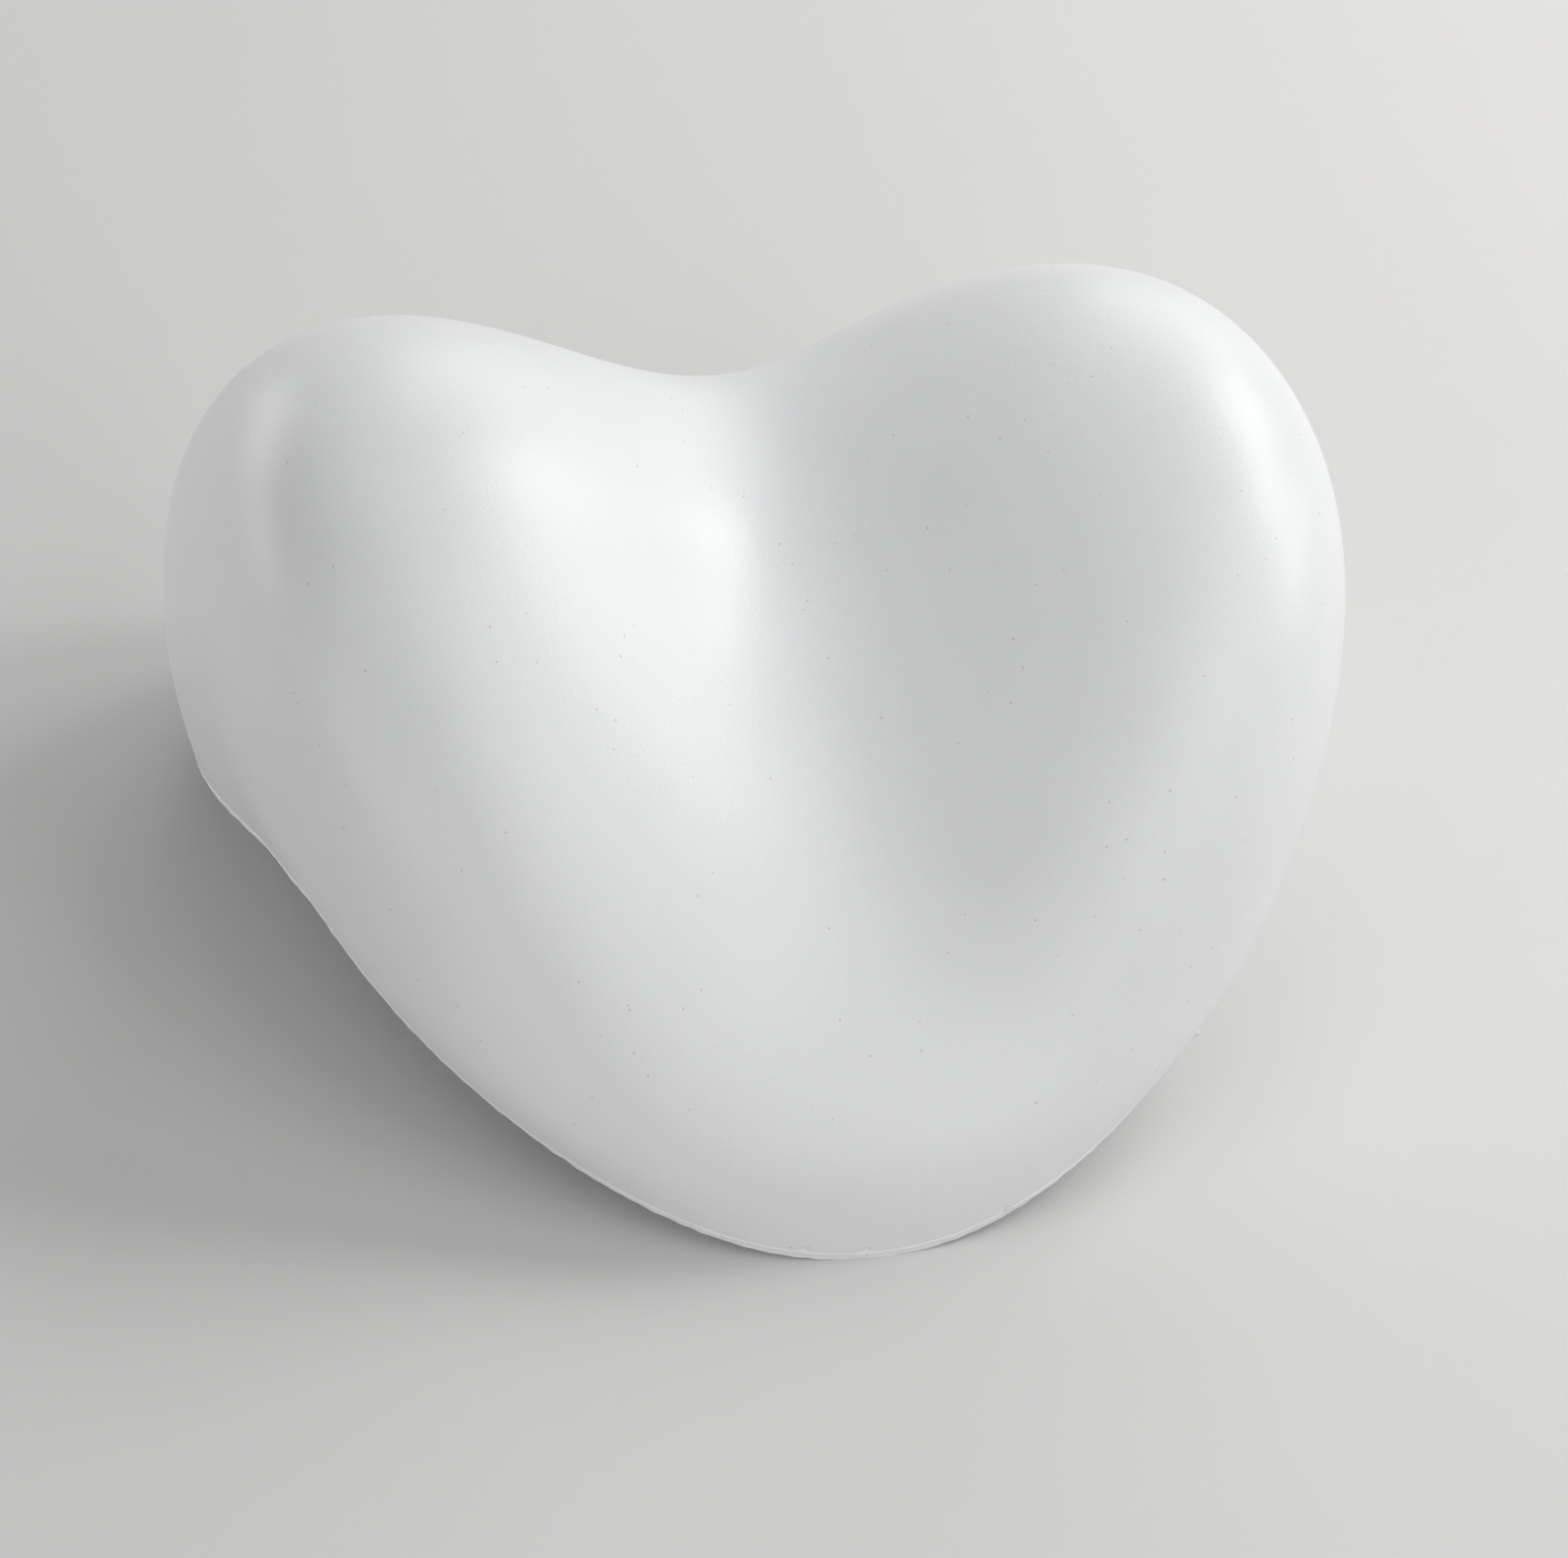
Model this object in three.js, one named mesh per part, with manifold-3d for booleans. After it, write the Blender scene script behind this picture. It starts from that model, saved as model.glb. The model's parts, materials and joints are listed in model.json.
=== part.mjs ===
// A heart-shaped bath pillow, moulded in one piece from soft white polyurethane foam.
//
// The foam has a dense skin, an upper one for the head and a bent one underneath, round a soft core.
// The underside folds over the edge of a bath: a seat lies on the flat rim and a tongue hangs down
// the inside slope. Four suction cups snap into sockets that are moulded into the underside.
//
// The pillow is drawn as it is used, with the fold at the origin, +Y back over the rim and +Z up.
// The whole group is then tipped back until it lies on a floor, on its tip and its back edge.
// Lengths are in millimetres and angles in degrees.
import * as THREE from "three";
import { mergeVertices } from "three/addons/utils/BufferGeometryUtils.js";
import Module from "manifold-3d";

// The bath that the underside is moulded to fit
const slopeAngle = 51;
const foldRadius = 12;

// The swellings that make the heart: centre, half sizes and turns about X, Y and Z.
// The two lobes are on both sides of the middle, and the sizes here are the right-hand ones.
const upperLobe = { centre: [63, 79, 19], half: [94, 81, 66], turns: [-13, -59, -18] };
const lowerLobe = { centre: [64, 15, 12], half: [44, 92, 62], turns: [92, 37, -40] };
const valleyFloor = { centre: [0, 15, 10], half: [80, 90, 24], turns: [41, 0, 0] };
const tip = { centre: [0, -4, -98], half: [74, 52, 51], turns: [13, 0, 0] };
const back = { centre: [0, 63, 19], half: [84, 48, 45], turns: [0, 0, 0] };

// How sharply swellings meet: a higher number leaves a sharper valley between them
const lobeSharpness = 3.9;
const heartSharpness = 4.4;

// Foam
const skinThickness = 2.5;
const floorFlat = 0.5;

// Suction cups: where they stand on the two faces, and their wells
const seatCupBehindFold = 54;
const seatCupAside = 66;
const tongueCupBelowFold = 40;
const tongueCupAside = 43;
const wellRadius = 23;
const wellDepth = 7;

// One suction cup and its release tab
const cupRadius = 20;
const cupStandsProud = 4;
const cupEdge = 1;
const hubRadius = 7;
const hubHeight = 3.4;
const dishDepth = 5;
const neckRadius = 4;
const headRadius = 6;
const headHeight = 4;
const tabLength = 9;
const tabWidth = 10;
const tabThickness = 1.4;

// One socket
const throatLength = 2;
const socketWall = 2.6;
const socketCap = 2;
const flangeWidth = 4.5;
const flangeThickness = 2;

// Clearances
const fitGap = 0.3;
const turningGap = 0.3;

// Fineness of the curved surfaces
const outerFacets = 9;
const innerFacets = 5;
const roundFacets = 24;
const curveFacets = 5;

const wasm = await Module();
wasm.setup();

// The point inside the foam from which every part of its surface can be seen
const heart = new THREE.Vector3(0, 25, 30);
const farAway = 260;
const slope = THREE.MathUtils.degToRad(slopeAngle);

const skinMaterial = new THREE.MeshStandardMaterial({ color: "#eceef0", roughness: 0.42, metalness: 0 });
const foamMaterial = new THREE.MeshStandardMaterial({ color: "#f1eee2", roughness: 0.95, metalness: 0 });
const socketMaterial = new THREE.MeshStandardMaterial({ color: "#e4e6e8", roughness: 0.5, metalness: 0 });
const cupMaterial = new THREE.MeshStandardMaterial({ color: "#d5dde2", roughness: 0.2, metalness: 0 });

// Solids and meshes

function solidOf(geometry) {
  const bare = new THREE.BufferGeometry();
  bare.setAttribute("position", geometry.getAttribute("position"));
  bare.setIndex(geometry.index);
  const merged = mergeVertices(bare);
  return new wasm.Manifold(
    new wasm.Mesh({
      numProp: 3,
      vertProperties: merged.getAttribute("position").array,
      triVerts: new Uint32Array(merged.index.array),
    }),
  );
}

function meshOf(name, solid, material) {
  const shape = solid.getMesh();
  const geometry = new THREE.BufferGeometry();
  geometry.setAttribute("position", new THREE.BufferAttribute(shape.vertProperties, 3));
  geometry.setIndex(new THREE.BufferAttribute(shape.triVerts, 1));
  geometry.computeVertexNormals();
  const mesh = new THREE.Mesh(geometry, material);
  mesh.name = name;
  return mesh;
}

// The heart: a blend of the swellings, worked out at any point

function swelling({ centre, half, turns }) {
  const radians = turns.map((degrees) => THREE.MathUtils.degToRad(degrees));
  const place = new THREE.Matrix4().compose(
    new THREE.Vector3(...centre),
    new THREE.Quaternion().setFromEuler(new THREE.Euler(...radians, "XYZ")),
    new THREE.Vector3(...half),
  );
  const toUnitBall = place.invert();
  return (point) => point.clone().applyMatrix4(toUnitBall).length();
}

function blend(distances, sharpness) {
  const sum = distances.reduce((total, distance) => total + distance ** -sharpness, 0);
  return sum ** (-1 / sharpness);
}

const upperAt = swelling(upperLobe);
const lowerAt = swelling(lowerLobe);
const middleParts = [valleyFloor, tip, back].map(swelling);

// Less than one inside the foam, one on its surface
function heartAt(point) {
  const mirrored = new THREE.Vector3(-point.x, point.y, point.z);
  const lobes = [point, mirrored].map((side) => blend([upperAt(side), lowerAt(side)], lobeSharpness));
  const middle = middleParts.map((part) => part(point));
  return blend([...lobes, ...middle], heartSharpness);
}

function outward(point) {
  const step = 0.2;
  const slopeAlong = (axis) =>
    heartAt(point.clone().addScaledVector(axis, step)) - heartAt(point.clone().addScaledVector(axis, -step));
  return new THREE.Vector3(
    slopeAlong(new THREE.Vector3(1, 0, 0)),
    slopeAlong(new THREE.Vector3(0, 1, 0)),
    slopeAlong(new THREE.Vector3(0, 0, 1)),
  ).normalize();
}

function surfacePoint(direction) {
  let inside = 0;
  let outside = farAway;
  const point = new THREE.Vector3();
  for (let halving = 0; halving < 30; halving++) {
    const middle = (inside + outside) / 2;
    point.copy(heart).addScaledVector(direction, middle);
    if (heartAt(point) < 1) inside = middle;
    else outside = middle;
  }
  return point;
}

// The heart as a closed surface, drawn in from the true one by a depth
function heartSolid(facets, depth) {
  const ball = new THREE.IcosahedronGeometry(1, facets);
  const bare = new THREE.BufferGeometry();
  bare.setAttribute("position", ball.getAttribute("position"));
  const surface = mergeVertices(bare);
  const corners = surface.getAttribute("position");
  for (let i = 0; i < corners.count; i++) {
    const direction = new THREE.Vector3().fromBufferAttribute(corners, i).normalize();
    const point = surfacePoint(direction);
    point.addScaledVector(outward(point), -depth);
    corners.setXYZ(i, ...point);
  }
  return solidOf(surface);
}

// What lies below the underside, when the underside is raised by a lift: the bath's rim and slope
function bathBelow(lift) {
  const edgeY = foldRadius * Math.tan(slope / 2);
  const edgeZ = -foldRadius;
  const radius = foldRadius + lift;
  const slopeTop = new THREE.Vector2(edgeY - radius * Math.sin(slope), edgeZ + radius * Math.cos(slope));
  const outline = new THREE.Shape();
  outline.moveTo(farAway, lift);
  outline.lineTo(edgeY, lift);
  outline.absarc(edgeY, edgeZ, radius, Math.PI / 2, Math.PI / 2 + slope, false);
  outline.lineTo(slopeTop.x - farAway * Math.cos(slope), slopeTop.y - farAway * Math.sin(slope));
  outline.lineTo(farAway, slopeTop.y - farAway * Math.sin(slope));
  const block = new THREE.ExtrudeGeometry(outline, {
    depth: 2 * farAway,
    bevelEnabled: false,
    curveSegments: curveFacets,
  });
  block.translate(0, 0, -farAway);
  block.applyMatrix4(
    new THREE.Matrix4().makeBasis(
      new THREE.Vector3(0, 1, 0),
      new THREE.Vector3(0, 0, 1),
      new THREE.Vector3(1, 0, 0),
    ),
  );
  return solidOf(block);
}

// Cup sites: a frame on the underside whose +Z goes into the foam

function cupSite(name, x, alongY, alongZ, tilt) {
  const frame = new THREE.Group();
  frame.position.set(x, alongY, alongZ);
  frame.rotation.x = tilt;
  frame.updateMatrix();
  return { name, frame };
}

const tongueY = -tongueCupBelowFold * Math.cos(slope);
const tongueZ = -tongueCupBelowFold * Math.sin(slope);
const sites = [
  cupSite("rear_left", -seatCupAside, seatCupBehindFold, 0, 0),
  cupSite("rear_right", seatCupAside, seatCupBehindFold, 0, 0),
  cupSite("front_left", -tongueCupAside, tongueY, tongueZ, slope),
  cupSite("front_right", tongueCupAside, tongueY, tongueZ, slope),
];

// A round plug at a site, from one depth to another
function plugAt(site, radius, from, to) {
  const plug = new THREE.CylinderGeometry(radius, radius, to - from, roundFacets);
  plug.rotateX(Math.PI / 2);
  plug.translate(0, 0, (from + to) / 2);
  plug.applyMatrix4(site.frame.matrix);
  return solidOf(plug);
}

// Depths into the foam, counted from the face
const wellCeiling = wellDepth + skinThickness;
const throatRadius = neckRadius + turningGap;
const chamberRadius = headRadius + turningGap;
const bossRadius = chamberRadius + socketWall;
const flangeRadius = bossRadius + flangeWidth;
const headBase = wellDepth + throatLength + turningGap;
const headTop = headBase + headHeight;
const chamberTop = headTop + turningGap;
const socketTop = chamberTop + socketCap;
const flangeBase = wellCeiling + fitGap;
const flangeTop = flangeBase + flangeThickness;

// Foam pieces

function upperSkin() {
  const shell = heartSolid(outerFacets, 0).subtract(heartSolid(innerFacets, skinThickness));
  return shell.subtract(bathBelow(skinThickness + fitGap));
}

function underSkin(floor) {
  let sheet = heartSolid(outerFacets, 0).intersect(bathBelow(skinThickness));
  for (const site of sites) {
    sheet = sheet.add(plugAt(site, wellRadius + skinThickness, skinThickness / 2, wellCeiling));
  }
  sheet = sheet.subtract(bathBelow(0)).subtract(floor);
  for (const site of sites) {
    sheet = sheet.subtract(plugAt(site, wellRadius, -wellDepth, wellDepth));
    sheet = sheet.subtract(plugAt(site, bossRadius + fitGap, 0, wellCeiling + fitGap));
  }
  return sheet;
}

function foamCore() {
  const depth = skinThickness + fitGap;
  let core = heartSolid(innerFacets, depth).subtract(bathBelow(depth));
  for (const site of sites) {
    core = core.subtract(plugAt(site, wellRadius + depth, 0, wellCeiling + fitGap));
    core = core.subtract(plugAt(site, flangeRadius + fitGap, 0, flangeTop + fitGap));
    core = core.subtract(plugAt(site, bossRadius + fitGap, 0, socketTop + fitGap));
  }
  return core;
}

// Round pieces, turned from a half outline of radius and depth

function turned(outline) {
  const points = outline.map(([radius, depth]) => new THREE.Vector2(radius, depth));
  const geometry = new THREE.LatheGeometry(points, roundFacets);
  geometry.rotateX(Math.PI / 2);
  return solidOf(geometry);
}

function socket() {
  return turned([
    [0, chamberTop],
    [chamberRadius, chamberTop],
    [chamberRadius, wellDepth + throatLength],
    [throatRadius, wellDepth + throatLength],
    [throatRadius, wellDepth],
    [bossRadius, wellDepth],
    [bossRadius, flangeBase],
    [flangeRadius, flangeBase],
    [flangeRadius, flangeTop],
    [bossRadius, flangeTop],
    [bossRadius, socketTop],
    [0, socketTop],
  ]);
}

function curve(from, bend, to) {
  const line = new THREE.QuadraticBezierCurve(
    new THREE.Vector2(...from),
    new THREE.Vector2(...bend),
    new THREE.Vector2(...to),
  );
  return line.getPoints(curveFacets).map((point) => point.toArray());
}

function suctionCup() {
  const rim = -cupStandsProud;
  const crown = wellDepth - turningGap;
  const hubFoot = crown - hubHeight;
  const dishTop = rim + dishDepth;
  const skirtBend = [(hubRadius + cupRadius) / 2, hubFoot];
  const cup = turned([
    ...curve([0, dishTop], [cupRadius / 2, dishTop], [cupRadius - cupEdge, rim]),
    ...curve([cupRadius, rim + cupEdge / 2], skirtBend, [hubRadius, hubFoot]),
    [hubRadius, crown],
    [neckRadius, crown],
    [neckRadius, headBase],
    [headRadius, headBase],
    [headRadius, (headBase + headTop) / 2],
    [neckRadius, headTop],
    [0, headTop],
  ]);
  return cup.add(releaseTab(rim));
}

// A tongue of the cup's own material, to peel the cup off the bath
function releaseTab(rim) {
  const root = cupRadius - cupEdge - tabThickness;
  const roundEnd = cupRadius + tabLength - tabWidth / 2;
  const outline = new THREE.Shape();
  outline.moveTo(root, -tabWidth / 2);
  outline.absarc(roundEnd, 0, tabWidth / 2, -Math.PI / 2, Math.PI / 2, false);
  outline.lineTo(root, tabWidth / 2);
  const tab = new THREE.ExtrudeGeometry(outline, {
    depth: tabThickness,
    bevelEnabled: false,
    curveSegments: curveFacets,
  });
  tab.translate(0, 0, rim + cupEdge / 2);
  return solidOf(tab);
}

// Resting on a floor

// How far the pillow tips back before its tip and its back edge are equally low
function restingTip(solid) {
  const corners = solid.getMesh().vertProperties;
  const lowest = (angle, frontSide) => {
    let low = Infinity;
    for (let i = 0; i < corners.length; i += 3) {
      const isFront = corners[i + 1] < 0;
      if (isFront !== frontSide) continue;
      low = Math.min(low, corners[i + 2] * Math.cos(angle) - corners[i + 1] * Math.sin(angle));
    }
    return low;
  };
  let least = 0;
  let most = slope;
  for (let halving = 0; halving < 40; halving++) {
    const angle = (least + most) / 2;
    if (lowest(angle, true) < lowest(angle, false)) least = angle;
    else most = angle;
  }
  return { angle: least, low: lowest(least, true) };
}

const resting = restingTip(heartSolid(outerFacets, 0).subtract(bathBelow(0)));
const floorHeight = resting.low + floorFlat;

// Everything below the floor that flattens the foam a little, in the pillow's own place
function floorBlock() {
  const block = new THREE.BoxGeometry(2 * farAway, 2 * farAway, farAway);
  block.translate(0, 0, floorHeight - farAway / 2);
  block.rotateX(resting.angle);
  return solidOf(block);
}

const pillow = new THREE.Group();
pillow.add(meshOf("upper_skin", upperSkin(), skinMaterial));
pillow.add(meshOf("under_skin", underSkin(floorBlock()), skinMaterial));
pillow.add(meshOf("foam_core", foamCore(), foamMaterial));
for (const site of sites) {
  const cup = meshOf(`suction_cup_${site.name}`, suctionCup(), cupMaterial);
  cup.rotation.z = site.frame.position.x < 0 ? Math.PI : 0;
  site.frame.add(meshOf(`socket_${site.name}`, socket(), socketMaterial), cup);
  pillow.add(site.frame);
}
pillow.rotation.x = -resting.angle;

const part = new THREE.Group();
part.add(pillow);
part.updateMatrixWorld(true);
const box = new THREE.Box3().setFromObject(part, true);
pillow.position.set(0, -(box.min.y + box.max.y) / 2, -floorHeight);

export default part;
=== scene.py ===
# %% [markdown]
# # A heart-shaped bath pillow
#
# The pillow is one moulding of soft white polyurethane foam. Its underside is bent to lie over an
# edge, and four clear suction cups hold it there. This lesson builds it in Blender round a packed
# CAD model, which says where every piece is and how the cups turn.
#
# Each step is a cell. Lengths are in millimetres while a shape is worked out, and they turn into
# Blender's metres when a piece is made.

import json

import bmesh
import bpy
import numpy as np
from mathutils import Matrix, Vector
from mathutils.geometry import delaunay_2d_cdt


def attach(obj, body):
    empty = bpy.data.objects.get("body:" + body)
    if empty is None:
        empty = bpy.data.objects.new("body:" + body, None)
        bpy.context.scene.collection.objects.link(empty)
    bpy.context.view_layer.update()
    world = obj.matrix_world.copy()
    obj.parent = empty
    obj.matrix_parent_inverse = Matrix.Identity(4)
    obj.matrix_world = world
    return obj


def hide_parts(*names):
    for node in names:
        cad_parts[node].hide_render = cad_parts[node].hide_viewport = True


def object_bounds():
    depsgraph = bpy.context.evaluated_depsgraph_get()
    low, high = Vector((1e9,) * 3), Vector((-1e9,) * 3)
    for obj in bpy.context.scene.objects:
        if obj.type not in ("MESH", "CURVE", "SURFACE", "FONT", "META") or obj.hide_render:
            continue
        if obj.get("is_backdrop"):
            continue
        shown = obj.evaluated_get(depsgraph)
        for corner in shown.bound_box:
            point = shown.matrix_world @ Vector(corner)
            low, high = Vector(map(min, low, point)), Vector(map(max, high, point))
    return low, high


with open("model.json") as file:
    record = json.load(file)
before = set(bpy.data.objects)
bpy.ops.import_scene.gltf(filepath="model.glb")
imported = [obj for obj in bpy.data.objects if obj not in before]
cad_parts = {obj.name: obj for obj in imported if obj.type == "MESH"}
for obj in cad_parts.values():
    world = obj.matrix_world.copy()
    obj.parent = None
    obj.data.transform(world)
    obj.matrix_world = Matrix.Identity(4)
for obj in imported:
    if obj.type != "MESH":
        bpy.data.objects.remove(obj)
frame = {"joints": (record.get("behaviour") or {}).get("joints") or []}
cad_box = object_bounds()
scene = bpy.context.scene

# %% [markdown]
# ## The pillow's own place
#
# The shape is easiest to describe as it is used: the fold of its underside at the origin, the seat
# behind it level, +Y to the back and +Z up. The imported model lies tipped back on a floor. A rear
# cup's swivel joint says how far it is tipped and where the fold went, so both are read from it.

# %% From the pillow's own place to the floor
METRE = 1000.0
slope = np.radians(51.0)
fold_radius = 12.0
seat_cup_behind_fold = 54.0
seat_cup_aside = 66.0
tongue_cup_below_fold = 40.0
tongue_cup_aside = 43.0

joints = {joint["name"]: joint for joint in frame["joints"]}
rear_swivel = joints["rear_right_cup_swivel"]
seat_faces = np.array(rear_swivel["axis"])
tilt = np.arctan2(seat_faces[1], -seat_faces[2])


def turn_about(axis, angle):
    """The matrix that turns about axis 0, 1 or 2, which are X, Y and Z."""
    turn = np.eye(3)
    one, other = (axis + 1) % 3, (axis + 2) % 3
    turn[one, one] = turn[other, other] = np.cos(angle)
    turn[one, other] = -np.sin(angle)
    turn[other, one] = np.sin(angle)
    return turn


tipping = turn_about(0, tilt)
rear_cup = np.array([seat_cup_aside, seat_cup_behind_fold, 0.0])
fold_at = np.array(rear_swivel["pos_m"]) * METRE - tipping @ rear_cup


def in_model(points):
    """Points of the pillow's own place, in millimetres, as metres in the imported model's frame."""
    return (points @ tipping.T + fold_at) / METRE


print("tipped", round(float(np.degrees(tilt)), 2), "degrees, fold at", fold_at.round(2))

# %% [markdown]
# ## The heart
#
# Every side that a head can touch is rounded, so there is no straight outline to extrude. The heart
# is drawn as a blend of swellings: two lobes on each side, a valley floor, the tip and the back.
# Each swelling is an ellipsoid, and a point's distances from all of them blend into one number,
# which is 1 on the surface. The swellings are those of the CAD model, carved a little further: the
# lobes and the valley move by a millimetre or two, as the light on them shows, and the left lobes
# are not quite the right ones mirrored.

# %% The swellings: centre, half sizes and turns about X, Y and Z
upper_lobe = ((62, 82, 20), (94, 74, 63), (-22, -56, -29))
lower_lobe = ((65, 13, 13), (42, 91, 59), (94, 33, -39))
left_lobes_differ = (0, -1, 0.5)
middle_parts = {
    "valley floor": ((-3, 15, 14), (72, 73, 16), (41, 0, 0)),
    "tip": ((0, 2, -91), (63, 51, 59), (18, 0, 0)),
    "back": ((7, 62, 3), (93, 48, 46), (-1, 0, 0)),
}
lobe_sharpness = 4.0
heart_sharpness = 3.4


def turned_by(turns):
    """The matrix that turns about Z, then Y, then X."""
    about_x, about_y, about_z = map(turn_about, range(3), np.radians(turns))
    return about_x @ about_y @ about_z


def swelling_at(points, swelling):
    """A point's distance from a swelling's centre: 1 on the swelling's own surface."""
    centre, half, turns = swelling
    return np.linalg.norm((points - np.array(centre)) @ turned_by(turns) / np.array(half), axis=-1)


def blend(distances, sharpness):
    return sum(distance**-sharpness for distance in distances) ** (-1 / sharpness)


def heart_at(points):
    """Less than 1 inside the foam, 1 on its surface."""
    mirrored = points * np.array([-1, 1, 1]) + np.array(left_lobes_differ)
    lobes = [
        blend([swelling_at(side, upper_lobe), swelling_at(side, lower_lobe)], lobe_sharpness)
        for side in (points, mirrored)
    ]
    middle = [swelling_at(points, part) for part in middle_parts.values()]
    return blend(lobes + middle, heart_sharpness)


def outward(points):
    """Unit vectors that point straight out of the foam."""
    step = 0.2
    slopes = [heart_at(points + step * axis) - heart_at(points - step * axis) for axis in np.eye(3)]
    steepest = np.stack(slopes, axis=-1)
    return steepest / np.linalg.norm(steepest, axis=-1, keepdims=True)


print("20 mm above the fold the heart reads", heart_at(np.array([0, 0, 20.0])).round(2))

# %% Where a ray from inside the foam meets the surface
inside_foam = np.array([0.0, 25.0, 30.0])
far_away = 260.0
halvings = 26


def first_crossing(place_at, count):
    """How far along each of many paths the surface is met, by halving."""
    near = np.zeros(count)
    far = np.full(count, far_away)
    for _ in range(halvings):
        middle = (near + far) / 2
        still_inside = heart_at(place_at(middle)) < 1
        near = np.where(still_inside, middle, near)
        far = np.where(still_inside, far, middle)
    return near


def surface_points(directions):
    ways = directions.reshape(-1, 3)
    reach = first_crossing(lambda along: inside_foam + ways * along[:, None], len(ways))
    return (inside_foam + ways * reach[:, None]).reshape(directions.shape)


print("the valley is at", surface_points(np.array([[0, 0, 1.0]])).round(1))

# %% [markdown]
# ## The bent underside
#
# Under the pillow are a flat seat, a rounded fold, and a flat tongue that hangs down in front of it
# at a slope. All three unroll into one flat sheet, so a place on the underside has three numbers: x
# across, how far along the sheet from the fold, and how deep into the foam. The wells, sockets and
# cups are drawn on the flat sheet, and one function bends them all.

# %% Places on the underside
fold_length = fold_radius * slope
fold_start = fold_radius * np.tan(slope / 2)


def underside(x, along, depth):
    """A place on the underside's sheet, deep in the foam by a depth, in the pillow's own place."""
    x, along, depth = np.broadcast_arrays(*map(np.asarray, (x, along, depth)))
    turned = np.clip(-along / fold_radius, 0, slope)
    back = np.maximum(along, 0)
    down = np.maximum(-along - fold_length, 0)
    radius = fold_radius + depth
    y = fold_start + back - radius * np.sin(turned) - down * np.cos(slope)
    z = radius * np.cos(turned) - fold_radius - down * np.sin(slope)
    return np.stack([x, y, z], axis=-1)


def raised(points, depth):
    """The points, with those that lie less deep than a depth moved in to that depth."""
    y = points[..., 1] - fold_start
    z = points[..., 2] + fold_radius
    turned = np.clip(np.arctan2(-y, z), 0, slope)
    into_foam = np.stack([np.zeros_like(turned), -np.sin(turned), np.cos(turned)], axis=-1)
    present = into_foam[..., 1] * y + into_foam[..., 2] * z - fold_radius
    return points + into_foam * np.maximum(depth - present, 0)[..., None]


print("the fold takes", round(float(fold_length), 1), "mm of the sheet")

# %% Loops round the edge of the foam
middle_along = 18.0


def edge_loop(angles, depth, outset=None):
    """Where the foam ends on the sheet at a depth, as x and along, moved out by any outset."""
    across, along = np.cos(angles), np.sin(angles)

    def place(reach):
        return underside(across * reach, middle_along + along * reach, depth)

    reach = first_crossing(place, angles.size)
    loop = np.stack([across * reach, middle_along + along * reach], axis=-1)
    if outset is None:
        return loop
    forward = np.roll(loop, -1, axis=0) - np.roll(loop, 1, axis=0)
    aside = np.stack([forward[:, 1], -forward[:, 0]], axis=-1)
    aside /= np.linalg.norm(aside, axis=-1, keepdims=True)
    return loop + aside * np.reshape(outset, (-1, 1))


def lifted(loop, depth):
    """A loop of the flat sheet in the pillow's own place, at a depth."""
    return underside(loop[:, 0], loop[:, 1], depth)


def turns_round(count):
    return np.arange(count) * 2 * np.pi / count


edge_steps = np.diff(lifted(edge_loop(turns_round(960), 0.0), 0.0), axis=0)
edge_length = np.linalg.norm(edge_steps, axis=1).sum()
print("the edge of the underside is", round(float(edge_length)), "mm long")

# %% [markdown]
# ## A helper that gathers a piece
#
# Every piece of this pillow is made of rings: round the edge, round a well, round a cup. The helper
# keeps points and faces together, joins one ring to the next and closes a ring with a lid. Blender
# gets them in one go at the end. Foam that would reach below the floor is pressed flat on it.

# %% Rings into a mesh
def placed(name, data):
    """A new object in the scene."""
    made = bpy.data.objects.new(name, data)
    scene.collection.objects.link(made)
    return made


class Surface:
    """The points and faces of one piece."""

    def __init__(self):
        self.points = []
        self.faces = []
        self.count = 0

    def add(self, points):
        """Adds points and gives back their numbers."""
        points = np.asarray(points, float).reshape(-1, 3)
        self.points.append(points)
        self.count += len(points)
        return np.arange(self.count - len(points), self.count)

    def join(self, ring, next_ring):
        """Joins two rings of as many points with four-sided faces."""
        ring_on, next_on = np.roll(ring, -1), np.roll(next_ring, -1)
        self.faces += np.stack([ring, ring_on, next_on, next_ring], axis=-1).tolist()

    def rings(self, many, after=None):
        """Adds rings of points, each joined to the one before. Gives the last ring's numbers."""
        for points in many:
            numbers = self.add(points)
            if after is not None:
                self.join(after, numbers)
            after = numbers
        return after

    def join_finer(self, ring, finer):
        """Joins a ring to one that has a whole number of times as many points."""
        times = len(finer) // len(ring)
        for turn, number in enumerate(ring.tolist()):
            between = finer[np.arange(turn * times, (turn + 1) * times + 1) % len(finer)]
            self.faces.append([*between.tolist(), int(ring[(turn + 1) % len(ring)]), number])

    def lid(self, ring):
        self.faces.append(ring.tolist())

    def closed(self, many):
        """Adds rings, each joined to the one before, and closes both ends with lids."""
        first = self.add(many[0])
        last = self.rings(many[1:], after=first)
        self.lid(first)
        self.lid(last)
        return self

    def piece(self, name):
        """A Blender object with this surface, its faces pointing out, smooth."""
        points = in_model(np.concatenate(self.points))
        points[:, 2] = np.maximum(points[:, 2], 0)
        mesh = bpy.data.meshes.new(name)
        mesh.from_pydata(points.tolist(), [], self.faces)
        built = bmesh.new()
        built.from_mesh(mesh)
        bmesh.ops.recalc_face_normals(built, faces=built.faces)
        open_edges = sum(not edge.is_manifold for edge in built.edges)
        built.to_mesh(mesh)
        built.free()
        mesh.shade_smooth()
        print(name, "has", len(mesh.polygons), "faces and", open_edges, "open edges")
        return placed(name, mesh)


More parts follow.
